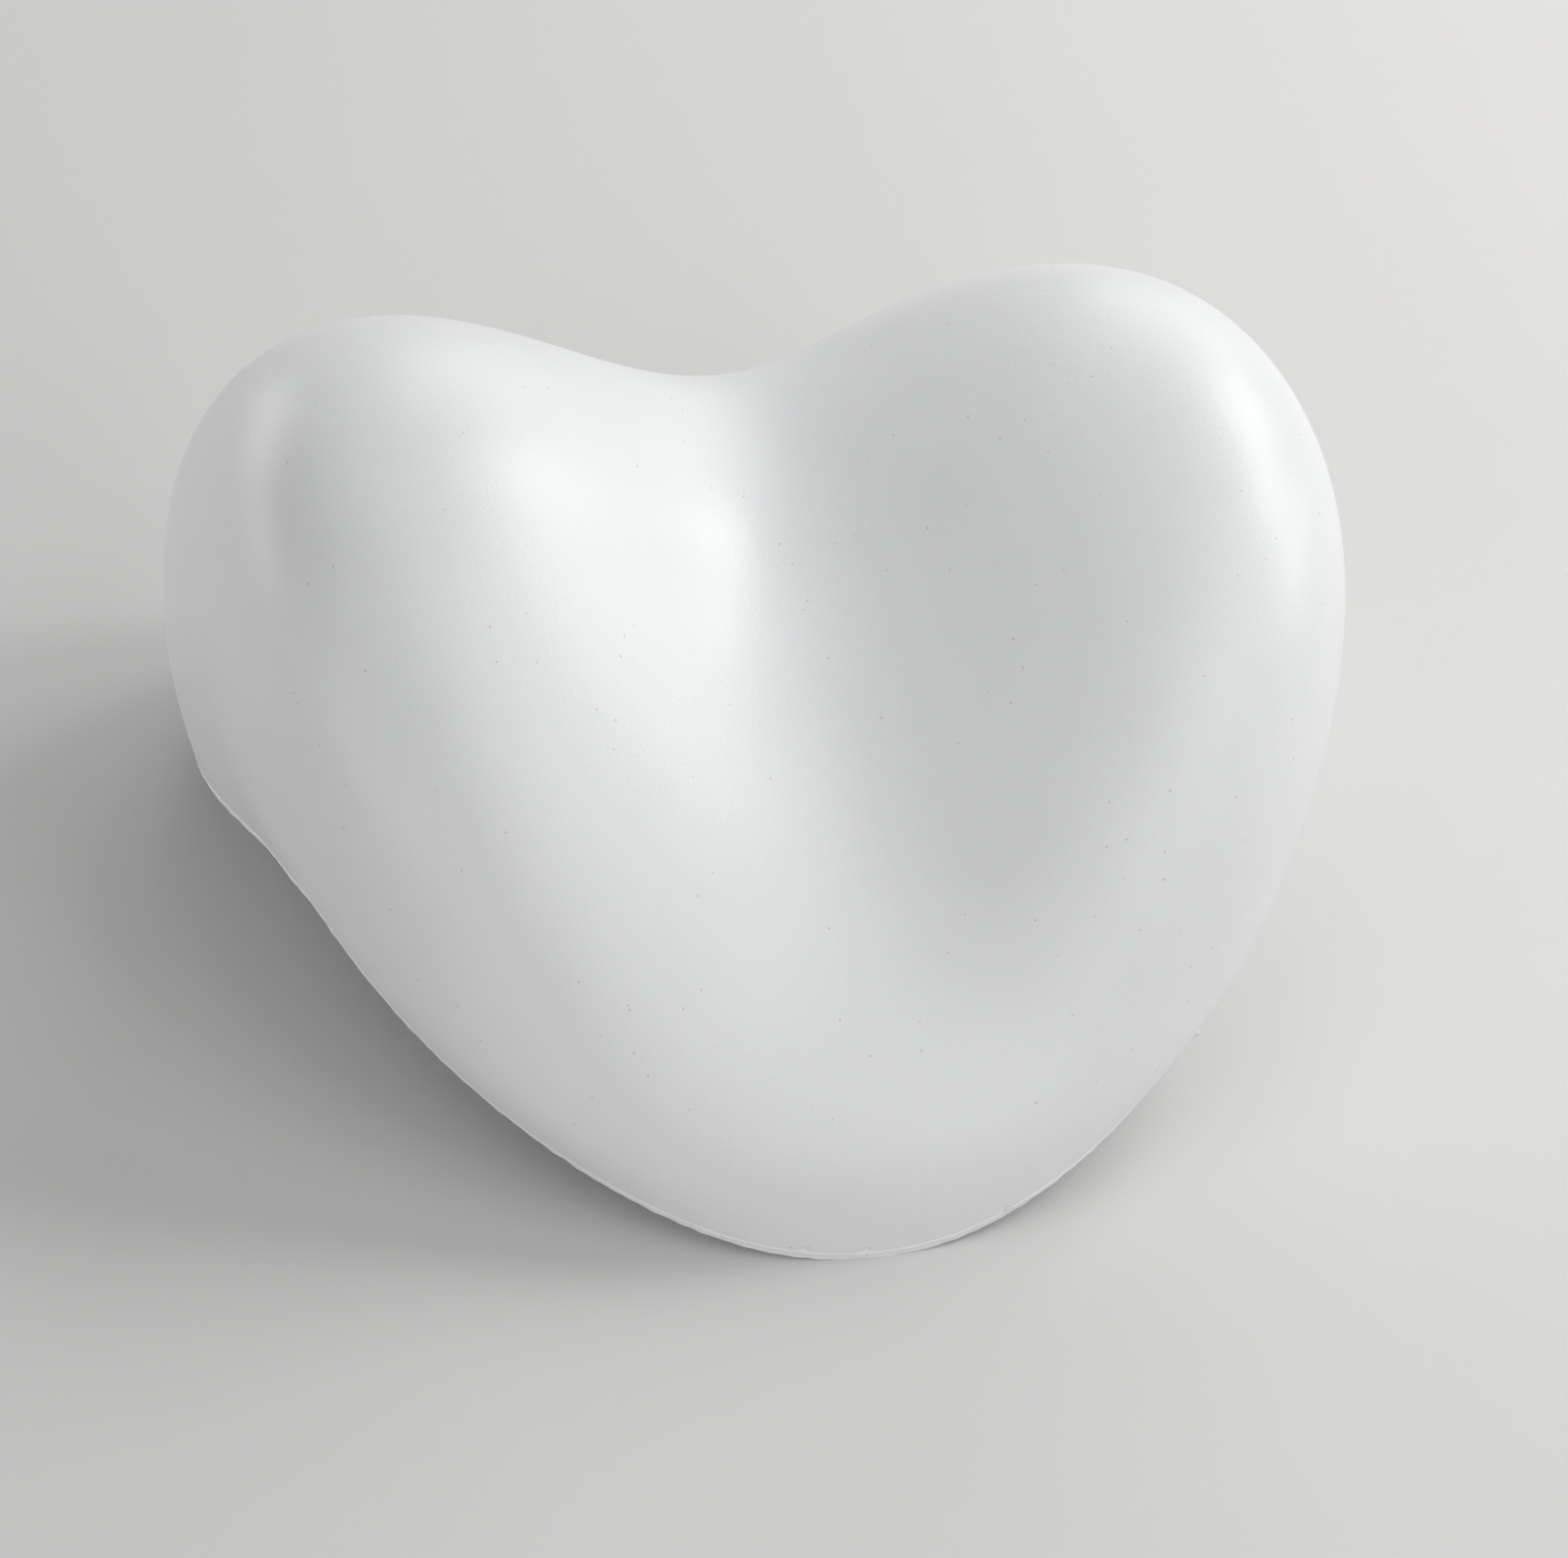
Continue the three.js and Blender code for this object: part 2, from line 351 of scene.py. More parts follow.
def bend(start, corner, end, steps=4):
    """Points of a smooth bend from a start round a corner to an end."""
    start, corner, end = (np.asarray(place, float) for place in (start, corner, end))
    shares = np.linspace(0, 1, steps + 1)
    return [start * (1 - s) ** 2 + 2 * corner * s * (1 - s) + end * s**2 for s in shares]


def rounded(corner, before, after, steps=4):
    """A bend round a corner, from a step before it to a step after it."""
    corner = np.array(corner, float)
    return bend(corner + before, corner, corner + after, steps)


print("a round starts at", rounded((0, 0), (1, 0), (0, 1))[0], "from its corner")

# %% [markdown]
# ## The upper skin
#
# Foam poured into a cold mould forms a dense skin where it touches the metal. The upper skin is
# everything that a head can touch, down to the mould's parting line, low on the sides. A box shrunk
# onto the heart would have a grid that runs across that line. Here a square grid is wrapped over
# the heart: its outermost ring follows the line, just above it, and its rings are spread evenly.

# %% A grid that ends at the parting line
skin_thickness = 2.5
skin_gap = 0.15
parting_depth = 1.0
crown_direction = np.array([0.0, -0.42, 0.9])
crown_direction /= np.linalg.norm(crown_direction)


def toward_edge(to_edge, share):
    """Directions on the way from the crown to the edge."""
    whole = np.arccos(to_edge @ crown_direction)[..., None]
    share = share[..., None]
    from_crown = np.sin((1 - share) * whole) * crown_direction
    return (from_crown + np.sin(share * whole) * to_edge) / np.sin(whole)


def edge_directions(angles, depth):
    ways = lifted(edge_loop(angles, depth), depth) - inside_foam
    return ways / np.linalg.norm(ways, axis=-1, keepdims=True)


def even_shares(angles, depth, ring_count):
    """For each angle, the share of the way from crown to edge that each evenly spaced ring has."""
    samples = 121
    share = np.broadcast_to(np.linspace(0, 1, samples), (angles.size, samples))
    paths = surface_points(toward_edge(edge_directions(angles, depth)[:, None], share))
    lengths = np.linalg.norm(np.diff(paths, axis=1), axis=-1)
    run = np.concatenate([np.zeros((angles.size, 1)), np.cumsum(lengths, axis=1)], axis=1)
    wanted = np.linspace(0, 1, ring_count + 1)
    return np.array([np.interp(wanted, row / row[-1], share[0]) for row in run])


def wrapped_grid(ring_count, depth):
    """Points of a square grid over the heart, each one's ring, and its angle round the crown."""
    steps = np.arange(-ring_count, ring_count + 1)
    i, j = np.meshgrid(steps, steps, indexing="ij")
    ring = np.maximum(abs(i), abs(j))
    sideways = abs(i) >= abs(j)
    whole = np.where(ring == 0, 1, np.where(sideways, i, j))
    part = np.where(sideways, j, -i) / whole
    angle = np.pi / 4 * part + np.where(sideways, 0, np.pi / 2) + np.where(whole < 0, np.pi, 0)
    angle = angle % (2 * np.pi)
    sectors = 240
    shares = even_shares(np.linspace(0, 2 * np.pi, sectors + 1), depth, ring_count)
    sector = angle / (2 * np.pi) * sectors
    before = np.minimum(sector.astype(int), sectors - 1)
    past = sector - before
    share = shares[before, ring] * (1 - past) + shares[before + 1, ring] * past
    toward = edge_directions(angle.ravel(), depth).reshape(*angle.shape, 3)
    return surface_points(toward_edge(toward, share)), ring, angle


def add_grid(surface, points, ring, angle):
    """Adds a grid's points and faces. Gives its outermost ring's numbers, in order of angle."""
    numbers = surface.add(points).reshape(ring.shape)
    corners = [numbers[:-1, :-1], numbers[1:, :-1], numbers[1:, 1:], numbers[:-1, 1:]]
    surface.faces += np.stack([corner.ravel() for corner in corners], axis=-1).tolist()
    outermost = ring == ring.max()
    return numbers[outermost][np.argsort(angle[outermost])]


print("the grid's crown points to", crown_direction.round(2))

# %% [markdown]
# ## Flash at the parting line
#
# Where the two halves of the mould meet, a little foam creeps between them and sets as flash. It is
# trimmed with a blade by hand, which leaves a thin bead with a crease above it. Here and there the
# blade slipped: it left a nib that curls up beside a notch, or a nick in the skin above the bead.
# All that is real geometry: rings below the grid that step in, out and in again. The bead's width
# wavers as a sum of waves with seeded starts.

# %% The bead's uneven width, and the places where the blade slipped
flash_width = 0.36
flash_waver = 0.06
# Each slip's place in degrees round the edge, and how far it reaches in millimetres.
nibs = {-40.6: 2.2, -72.5: 1.2}
notches = {-41.9: 1.1, -73.4: 1.0}
nicks = {-42.0: 0.8, -73.6: 0.5, -90.8: 1.1, -98.1: 1.1}
slip_length = 0.9
nib_curl = 1.6


def seeded_waves(seed, fewest, most, count):
    """How many times each of several waves fits round the pillow, and where it starts."""
    random = np.random.default_rng(seed)
    return random.integers(fewest, most, count), random.uniform(0, 2 * np.pi, count)


def wavering(angles, waves):
    """The sum of seeded waves at each angle, mostly between -1 and 1."""
    times, starts = waves
    waved = np.sin(np.outer(angles, times) + starts)
    return waved.sum(axis=1) / np.sqrt(len(times))


def slipped(angles, slips):
    """How far the blade's slips reach at each angle. Each is a small rounded bump."""
    reach = np.zeros(angles.size)
    for degrees, height in slips.items():
        turn = (angles - np.radians(degrees) + np.pi) % (2 * np.pi) - np.pi
        aside = turn * edge_length / (2 * np.pi)
        reach += height * np.exp(-((aside / slip_length) ** 2))
    return reach


flash_waves = seeded_waves(seed=11, fewest=20, most=330, count=18)
print("the bead is", flash_width, "mm wide, give or take", flash_waver)

# %% The upper skin's mesh
outer_rings = 112
inner_rings = outer_rings // 4
lip_height = 2.2
lip_depth = parting_depth + lip_height
# Each ring's height above the parting line, then the shares of the bead, notch and nick it takes.
lip = [
    (2.0, 0, 0, 0),
    (1.75, 0, 0.1, 0.1),
    (1.6, 0, 0.3, 0.8),
    (1.3, -0.05, 0.5, 1),
    (0.85, -0.2, 0.8, 1),
    (0.72, -0.35, 0.9, 0.8),
    (0.64, -0.3, 1, 0.4),
    (0.58, 0.1, 1, 0),
    (0.5, 0.45, 1, 0),
    (0.36, 0.6, 1, 0),
    (0.12, 0.6, 1, 0),
    (0.03, 0.5, 1, 0),
    (0, 0, 1, 0),
]
lip_finer = 3
lap_width = 1.3
lap_depth = skin_thickness + skin_gap


def upper_skin():
    """Fine outside, a lip of flash at its edge, a lap over the under skin, and a coarser inside."""
    skin = Surface()
    edge = add_grid(skin, *wrapped_grid(outer_rings, lip_depth))
    angles = turns_round(lip_finer * len(edge))
    flash = flash_width + flash_waver * wavering(angles, flash_waves)
    nib, notch, nick = (slipped(angles, slips) for slips in (nibs, notches, nicks))
    rings = []
    for height, bead_share, notch_share, nick_share in lip:
        outset = bead_share * (flash + nib) - notch_share * notch - nick_share * nick
        depth = parting_depth + height + nib_curl * nib * max(bead_share, 0)
        rings.append(lifted(edge_loop(angles, depth, outset), depth))
    for depth in (parting_depth, lap_depth):
        rings.append(lifted(edge_loop(angles, depth, skin_gap - lap_width), depth))
    first = skin.rings(rings[:1])
    skin.join_finer(edge, first)
    last = skin.rings(rings[1:], after=first)
    inside, ring, angle = wrapped_grid(inner_rings, lip_depth)
    inside = raised(inside - outward(inside) * skin_thickness, lap_depth)
    skin.join_finer(add_grid(skin, inside, ring, angle), last)
    return skin.piece("upper_skin_moulded")


def dress(piece, body, node):
    """Lets a piece stand for a CAD node on the body that carries it."""
    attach(piece, body)
    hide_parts(node)
    return piece


skin_above = dress(upper_skin(), "pillow", "upper_skin")

# %% [markdown]
# ## A flat sheet with holes
#
# The underside's faces are flat on the sheet, with a round hole for each well. A Delaunay
# triangulation fills such an outline: it takes the outline, the holes and a scatter of points in
# between, and joins them all into well-shaped triangles. Rows of points lie close together over the
# fold, so that it bends smoothly.

# %% Wells, and the sheet between them
class Site:
    """Where one suction cup stands: a point of the sheet, and the side its tab points to."""

    def __init__(self, name, x, along):
        self.name = name
        self.x = x
        self.along = along
        self.side = 1 if x > 0 else -1

    def circle(self, radius, count=96):
        """A circle round the site, as x and along."""
        angles = turns_round(count)
        around = np.stack([np.cos(angles), np.sin(angles)], axis=-1)
        return radius * around + [self.x, self.along]

    def turned(self, outline, count=96):
        """Rings of points, one for each radius and depth of an outline."""
        return [lifted(self.circle(radius, count), depth) for radius, depth in outline]


seat_along = seat_cup_behind_fold - fold_start
tongue_along = -(tongue_cup_below_fold - fold_start) - fold_length
sites = [
    Site("rear_left", -seat_cup_aside, seat_along),
    Site("rear_right", seat_cup_aside, seat_along),
    Site("front_left", -tongue_cup_aside, tongue_along),
    Site("front_right", tongue_cup_aside, tongue_along),
]
fold_row_count = 15
sheet_spacing = 4.0


def polar(places, centre):
    """Each place's angle and reach from a centre on the sheet."""
    x, along = (places - centre).T
    return np.arctan2(along, x), np.hypot(x, along)


def scattered(outline, holes, spacing):
    """Points of a grid that lie inside an outline and outside its holes, clear of both."""
    middle = np.array([0, middle_along])
    fold_rows = np.linspace(-fold_length, 0, fold_row_count)
    back_rows = np.arange(spacing, outline[:, 1].max(), spacing)
    down_rows = -fold_length - np.arange(spacing, -outline[:, 1].min(), spacing)
    rows = np.concatenate([down_rows, fold_rows, back_rows])
    columns = np.arange(outline[:, 0].min(), outline[:, 0].max(), spacing)
    place = np.stack(np.meshgrid(columns, rows), axis=-1).reshape(-1, 2)
    angle, reach = polar(place, middle)
    limit = np.interp(angle, *polar(outline, middle), period=2 * np.pi)
    kept = reach < limit - spacing / 2
    for hole in holes:
        centre = hole.mean(axis=0)
        radius = np.hypot(*(hole[0] - centre))
        kept &= polar(place, centre)[1] > radius + spacing / 2
    return place[kept]


def add_sheet(surface, outline, holes, depth, spacing=sheet_spacing):
    """Fills a sheet at a depth. Gives the numbers of the outline's points and of each hole's."""
    loops = [outline, *holes]
    sizes = np.cumsum([0] + [len(loop) for loop in loops])
    flat = np.concatenate([*loops, scattered(outline, holes, spacing)])
    faces = [list(range(start, end)) for start, end in zip(sizes, sizes[1:])]
    found = delaunay_2d_cdt([Vector(place) for place in flat.tolist()], [], faces, 1, 1e-5)
    places, _, triangles, origins, _, belongs = found
    numbers = surface.add(lifted(np.array(places), depth))
    surface.faces += [
        numbers[triangle].tolist() for triangle, inside in zip(triangles, belongs) if inside == [0]
    ]
    place_of = {origin: place for place, many in enumerate(origins) for origin in many}
    return [numbers[[place_of[number] for number in face]] for face in faces]


for site in sites:
    print(site.name, "cup at x", site.x, "and", round(float(site.along), 1), "mm along the sheet")

# %% [markdown]
# ## The under skin
#
# The under skin is the other half of the moulding. Below the parting line it shows as a thin
# trimmed bead, turns under with a small radius and becomes the flat faces. In each face are two
# round wells, deep enough for a suction cup to be pressed in until the foam lies flat. It is one
# closed mesh: a sheet below, a sheet above, rings between them round the edge, with a lap that the
# upper skin closes over, and rings down each well.

# %% The under skin's mesh
edge_round = 0.4
trim_width = 0.15
trim_waver = 0.1
thinnest_trim = 0.03
well_radius = 23.0
well_depth = 7.0
well_lip = 1.4
well_round = 1.0
hole_round = 0.5
well_ceiling = well_depth + skin_thickness
neck_radius = 4.0
head_radius = 6.0
running_gap = 0.3
socket_wall = 2.6
boss_radius = head_radius + running_gap + socket_wall
trim_waves = seeded_waves(seed=5, fewest=8, most=160, count=12)


def well_outline():
    """Radius and depth down a well, through its ceiling and back over the outside."""
    hole = boss_radius + running_gap
    outside = well_radius + skin_thickness
    return [
        *rounded((well_radius, 0), (well_lip, 0), (0, well_lip)),
        *rounded((well_radius, well_depth), (0, -well_round), (-well_round, 0)),
        *rounded((hole, well_depth), (hole_round, 0), (0, hole_round), steps=2),
        (hole, well_ceiling),
        *rounded((outside, well_ceiling), (-well_round, 0), (0, -well_round), steps=3),
        (outside, skin_thickness),
    ]


def under_skin():
    skin = Surface()
    angles = turns_round(8 * outer_rings)
    trim = trim_width + trim_waver * wavering(angles, trim_waves)
    trim = np.maximum(trim, thinnest_trim)
    outline = well_outline()
    face_holes = [site.circle(outline[0][0]) for site in sites]
    top_holes = [site.circle(outline[-1][0]) for site in sites]
    face_loop = edge_loop(angles, 0.0, trim - edge_round)
    top_loop = edge_loop(angles, skin_thickness, -lap_width)
    face, *face_rings = add_sheet(skin, face_loop, face_holes, 0.0)
    top, *top_rings = add_sheet(skin, top_loop, top_holes, skin_thickness)
    corner = lifted(edge_loop(angles, 0.0, trim), 0.0)
    wall_start = lifted(edge_loop(angles, edge_round, trim), edge_round)
    foot = bend(lifted(face_loop, 0.0), corner, wall_start)[1:]
    ledge_depth = parting_depth - skin_gap
    wall = [
        lifted(edge_loop(angles, ledge_depth, outset), ledge_depth) for outset in (trim, -lap_width)
    ]
    last = skin.rings([*foot, *wall], after=face)
    skin.join(last, top)
    for site, lower, upper in zip(sites, face_rings, top_rings):
        last = skin.rings(site.turned(outline[1:-1]), after=lower)
        skin.join(last, upper)
    return skin.piece("under_skin_moulded")


skin_below = dress(under_skin(), "pillow", "under_skin")

# %% [markdown]
# ## The soft core
#
# Away from the mould the foam stays light and full of fine cells, and that soft core is what gives
# under a head. It can't be seen from outside, so it takes the coarse grid: the heart drawn in by
# the skin's thickness, with room for the wells and the sockets.

# %% The core's mesh
core_gap = 0.4
core_lift = 0.2
core_spacing = 7.0
socket_gap = 0.3
throat_length = 2.0
head_height = 4.0
socket_cap = 2.0
flange_width = 4.5
flange_thickness = 2.0
flange_radius = boss_radius + flange_width
flange_base = well_ceiling + socket_gap
flange_top = flange_base + flange_thickness
head_base = well_depth + throat_length + running_gap
head_top = head_base + head_height
chamber_top = head_top + running_gap
socket_top = chamber_top + socket_cap


def foam_core():
    core = Surface()
    core_depth = skin_thickness + core_gap
    inside, ring, angle = wrapped_grid(inner_rings, lip_depth)
    inside = raised(inside - outward(inside) * core_depth, core_depth + core_lift)
    rim = add_grid(core, inside, ring, angle)
    angles = turns_round(8 * inner_rings)
    outline = [
        (well_radius + core_depth, core_depth),
        (well_radius + core_depth, flange_base),
        (flange_radius + socket_gap, flange_base),
        (flange_radius + socket_gap, flange_top + socket_gap),
        (boss_radius + socket_gap, flange_top + socket_gap),
        (boss_radius + socket_gap, socket_top + socket_gap),
    ]
    holes = [site.circle(outline[0][0]) for site in sites]
    loop = edge_loop(angles, core_depth, -core_depth)
    face, *hole_rings = add_sheet(core, loop, holes, core_depth, core_spacing)
    core.join(rim, face)
    for site, lower in zip(sites, hole_rings):
        core.lid(core.rings(site.turned(outline[1:]), after=lower))
    return core.piece("foam_core_soft")


core_inside = dress(foam_core(), "pillow", "foam_core")

# %% [markdown]
# ## The sockets
#
# Foam can't hold a stem, so each well's ceiling has a hard plastic socket moulded into it. A wide
# flange keeps it in the foam, a narrow throat takes the cup's neck, and a chamber above holds the
# cup's head, so that the cup snaps in and turns. It is a turned part: one outline of radius and
# depth, swept round, with every edge broken as a mould maker would.

# %% The sockets' meshes
lead_in = 0.8
edge_break = 0.35
chamber_lid_width = 2.0
socket_lid_width = 4.0


def broken(outline, width):
    """A turned outline with each corner between two straights replaced by a small round."""
    places = [np.array(place, float) for place in outline]
    softened = [places[0]]
    for before, corner, after in zip(places, places[1:], places[2:]):
        steps_away = []
        for side in (before - corner, after - corner):
            length = np.linalg.norm(side)
            steps_away.append(side / length * min(width, length / 3))
        softened += rounded(corner, *steps_away, steps=3)
    return [*softened, places[-1]]


def socket(site):
    throat_radius = neck_radius + running_gap
    chamber_radius = head_radius + running_gap
    outline = [
        (chamber_radius - chamber_lid_width, chamber_top),
        (chamber_radius, chamber_top),
        (chamber_radius, well_depth + throat_length),
        (throat_radius, well_depth + throat_length),
        (throat_radius, well_depth + lead_in),
        (throat_radius + lead_in, well_depth),
        (boss_radius, well_depth),
        (boss_radius, flange_base),
        (flange_radius, flange_base),
        (flange_radius, flange_top),
        (boss_radius, flange_top),
        (boss_radius, socket_top),
        (boss_radius - socket_lid_width, socket_top),
    ]
    turned = Surface().closed(site.turned(broken(outline, edge_break)))
    return turned.piece(f"socket_moulded_{site.name}")


for site in sites:
    dress(socket(site), "pillow", f"socket_{site.name}")

# %% [markdown]
# ## The suction cups
#
# Each cup is soft clear vinyl: a thin skirt that ends in a rounded lip, a thick hub that it is
# pushed on by, a neck, and a mushroom head that snaps into the socket. A tab on the skirt, with
# three ribs to grip, lets a finger peel it off. The cup is turned like the socket, the tab and its
# ribs are drawn as rounded slabs, and a boolean joins them, as they are one moulding.

# %% The cups' outline
cup_radius = 20.0
cup_stands_proud = 4.0
cup_edge = 1.0
hub_radius = 7.0
hub_height = 3.4
dish_depth = 5.0
pole_radius = 0.6


def cup_outline():
    """Radius and depth from the middle of the dish, round the lip and up to the head's top."""
    lip = -cup_stands_proud
    crown = well_depth - running_gap
    hub_foot = crown - hub_height
    dish_top = lip + dish_depth
    dish_bend = (cup_radius / 2, dish_top)
    skirt_edge = (cup_radius - 0.05, lip + 0.6)
    skirt_bend = ((hub_radius + cup_radius) / 2, hub_foot - 0.4)
    skirt_top = (hub_radius + 1.2, hub_foot + 0.1)
    head_side = (head_radius, head_base + head_height / 3)
    head_shoulder = (head_radius - 0.3, head_top)
    # The dish, lip, skirt, hub, neck and head follow in turn. Every corner is rounded a little.
    return [
        *bend((pole_radius, dish_top), dish_bend, (cup_radius - cup_edge, lip + 0.12), steps=22),
        *rounded((cup_radius, lip), (-0.7, 0), (0, 0.35), steps=5),
        *bend(skirt_edge, skirt_bend, skirt_top, steps=20),
        *rounded((hub_radius, hub_foot + 0.2), (0.5, 0), (0, 0.7)),
        *rounded((hub_radius, crown), (0, -0.6), (-0.6, 0)),
        *rounded((neck_radius, crown), (0.5, 0), (0, 0.5)),
        *rounded((neck_radius, head_base), (0, -0.3), (0.3, 0)),
        *rounded((head_radius, head_base), (-0.4, 0), (0, 0.5)),
        *bend(head_side, head_shoulder, (pole_radius, head_top), steps=10),
    ]


print("a cup's outline has", len(cup_outline()), "points")

# %% The tab and its ribs
tab_length = 9.0
tab_width = 10.0
tab_thickness = 1.4
tab_round = 0.45
rib_count = 3
rib_spacing = 1.7
first_rib = 2.2
rib_half_length = 2.6
rib_half_width = 0.35
rib_height = 0.35
rib_sunk = 0.4
rib_round = 0.15


def slab(site, outline, low, high, rounding):
    """A flat shape between two depths, with rounded edges, drawn about the cup's middle."""
    outline = np.array(outline, float)
    middle = outline.mean(axis=0)
    away = outline - middle
    reach = np.linalg.norm(away, axis=1, keepdims=True)
    section = [
        *rounded((0, low), (rounding, 0), (0, rounding), steps=3),
        *rounded((0, high), (0, -rounding), (rounding, 0), steps=3),
    ]
    rings = []
    for inset, depth in section:
        flat = (middle + away * (1 - inset / reach)) * [site.side, 1]
        rings.append(lifted(flat + [site.x, site.along], depth))
    return Surface().closed(rings)


def tab_outline():
    """The tab seen from above: straight sides from under the lip, and a round end."""
    root = cup_radius - cup_edge - tab_thickness
    round_end = cup_radius + tab_length - tab_width / 2
    half = tab_width / 2
    turns = np.linspace(-np.pi / 2, np.pi / 2, 25)
    side_out = [(x, -half) for x in np.linspace(root, round_end, 6)[:-1]]
    end_round = [(round_end + half * np.cos(turn), half * np.sin(turn)) for turn in turns]
    side_back = [(x, half) for x in np.linspace(round_end, root, 6)[1:-1]]
    inner_end = [(root, half - step) for step in np.linspace(0, tab_width, 7)[:-1]]
    return [*side_out, *end_round, *side_back, *inner_end]


def rib_outline(x):
    """A rib across the tab, seen from above: a narrow bar with round ends."""
    turns = turns_round(16) + np.pi / 16
    ends = rib_half_length * np.sign(np.sin(turns))
    return np.stack(
        [x + rib_half_width * np.cos(turns), ends + rib_half_width * np.sin(turns)], axis=-1
    )


def merged(whole, extras):
    """Joins extra closed meshes into one piece and removes them."""
    for extra in extras:
        union = whole.modifiers.new("union", "BOOLEAN")
        union.operation = "UNION"
        union.solver = "MANIFOLD"
        union.object = extra
    shown = bpy.context.evaluated_depsgraph_get()
    joined = bpy.data.meshes.new_from_object(whole.evaluated_get(shown))
    whole.modifiers.clear()
    # The join leaves an empty first slot, which would hide the finish that is added later.
    joined.materials.clear()
    whole.data = joined
    joined.shade_smooth()
    for extra in extras:
        bpy.data.objects.remove(extra)
    return whole


# %% The cups' meshes
def suction_cup(site):
    turned = Surface().closed(site.turned(cup_outline()))
    low = cup_edge / 2 - cup_stands_proud
    top = low + tab_thickness
    tab = slab(site, tab_outline(), low, top, tab_round).piece("tab")
    ribs = []
    for step in range(rib_count):
        outline = rib_outline(cup_radius + first_rib + rib_spacing * step)
        rib = slab(site, outline, top - rib_sunk, top + rib_height, rib_round)
        ribs.append(rib.piece(f"rib_{step}"))
    return merged(turned.piece(f"suction_cup_clear_{site.name}"), [tab, *ribs])


for site in sites:
    dress(suction_cup(site), f"cup_{site.name}", f"suction_cup_{site.name}")

# %% [markdown]
# ## Two helpers for finishes
#
# Every finish below is a small tree of nodes. One function turns a colour as it is picked on a
# screen into the linear colour that Blender works with, and one adds a node with its settings and
# its links. Two settings come back often: a mix of colours, and a ramp that eases.

# %% Colours and nodes
of_colours = {"data_type": "RGBA"}
eased = {"interpolation_type": "SMOOTHSTEP"}


def linear(picked):
    """The linear colour of an sRGB hex value."""
    shares = [int(picked[start : start + 2], 16) / 255 for start in (1, 3, 5)]
    return (*[s / 12.92 if s <= 0.04045 else ((s + 0.055) / 1.055) ** 2.4 for s in shares], 1.0)


def add_node(tree, kind, settings=None, **inputs):
    """Adds a node. An input is a value, a hex colour or a node, or a list for a repeated name."""
    node = tree.nodes.new("ShaderNode" + kind)
    for name, value in (settings or {}).items():
        setattr(node, name, value)
    for name, values in inputs.items():
        named = name.replace("_", " ")
        sockets = [socket for socket in node.inputs if socket.enabled and socket.name == named]
        for socket, value in zip(sockets, values if isinstance(values, list) else [values]):
            if isinstance(value, str):
                value = linear(value)
            if isinstance(value, bpy.types.Node):
                value = next(output for output in value.outputs if output.enabled)
            if isinstance(value, bpy.types.NodeSocket):
                tree.links.new(value, socket)
            else:
                socket.default_value = value
    return node


def new_finish(name):
    """A bare material, its node tree, and the place on the piece in millimetres."""
    material = bpy.data.materials.new(name)
    material.use_nodes = True
    tree = material.node_tree
    tree.nodes.clear()
    place = add_node(tree, "TexCoord").outputs["Object"]
    scaling = {"operation": "SCALE"}
    place = add_node(tree, "VectorMath", scaling, Vector=place, Scale=METRE)
    return material, tree, place


print("a screen's mid grey is linear", round(linear("#808080")[0], 3))

# %% [markdown]
# ## The skin: integral-skin polyurethane
#
# The skin is polyurethane foam that went dense against a blasted aluminium mould, under a thin coat
# of white that is sprayed into the mould first. It has no weave and no seams. What makes it look
# real is small: a satin gloss broken up by the mould's grain, a few pinholes where bubbles sat
# against the mould, and faint clouds. The shade inside each pinhole is painted into the colour.
# The real grain is 0.6 to 0.9 mm wide, and it is drawn so.

# %% Integral-skin polyurethane, moulded and coated in the mould
def skin_finish():
    """A satin white that is a little cool, with grain, pinholes darkened by painted shade, and
    faint clouds.
    """
    material, tree, place = new_finish("integral_skin_polyurethane")
    cloud_width, grain_width, crease_width = 42.0, 0.8, 0.45
    grain_height, pinhole_depth = 0.032, 0.06
    pinhole_spacing, pinhole_radius = 6.0, 0.3
    cloud = add_node(tree, "TexNoise", Vector=place, Scale=1 / cloud_width, Detail=4.0)
    creases = add_node(tree, "TexNoise", Vector=place, Scale=1 / crease_width)
    pebbles = add_node(
        tree,
        "TexVoronoi",
        {"feature": "SMOOTH_F1"},
        Vector=place,
        Scale=1 / grain_width,
        Smoothness=0.6,
    )
    bubbles = add_node(tree, "TexVoronoi", Vector=place, Scale=1 / pinhole_spacing)
    pinhole_and_painted_shade = add_node(
        tree,
        "MapRange",
        eased,
        Value=bubbles,
        From_Min=0.5 * pinhole_radius / pinhole_spacing,
        From_Max=1.3 * pinhole_radius / pinhole_spacing,
        To_Min=1.0,
        To_Max=0.0,
    )
    clouded = add_node(tree, "Mix", of_colours, Factor=cloud, A="#e8e9ea", B="#f0f1f2")
    # The pinholes are painted a darker grey: painted shade inside the pits.
    coloured = add_node(tree, "Mix", of_colours, Factor=pinhole_and_painted_shade, A=clouded, B="#cfcecb")
    gloss = add_node(
        tree, "MapRange", eased, Value=cloud, From_Min=0.35, From_Max=0.65, To_Min=0.32, To_Max=0.38
    )
    grain = add_node(tree, "Math", {"operation": "MULTIPLY_ADD"}, Value=[creases, 0.5, pebbles])
    grained = add_node(tree, "Bump", Height=grain, Distance=grain_height / METRE)
    pitted = add_node(
        tree,
        "Bump",
        {"invert": True},
        Height=pinhole_and_painted_shade,
        Distance=pinhole_depth / METRE,
        Normal=grained,
    )
    shader = add_node(
        tree, "BsdfPrincipled", Base_Color=coloured, Roughness=gloss, IOR=1.5, Normal=pitted
    )
    add_node(tree, "OutputMaterial", Surface=shader)
    return material


skin_material = skin_finish()
for piece in (skin_above, skin_below):
    piece.data.materials.append(skin_material)
print("finished with", skin_material.name)

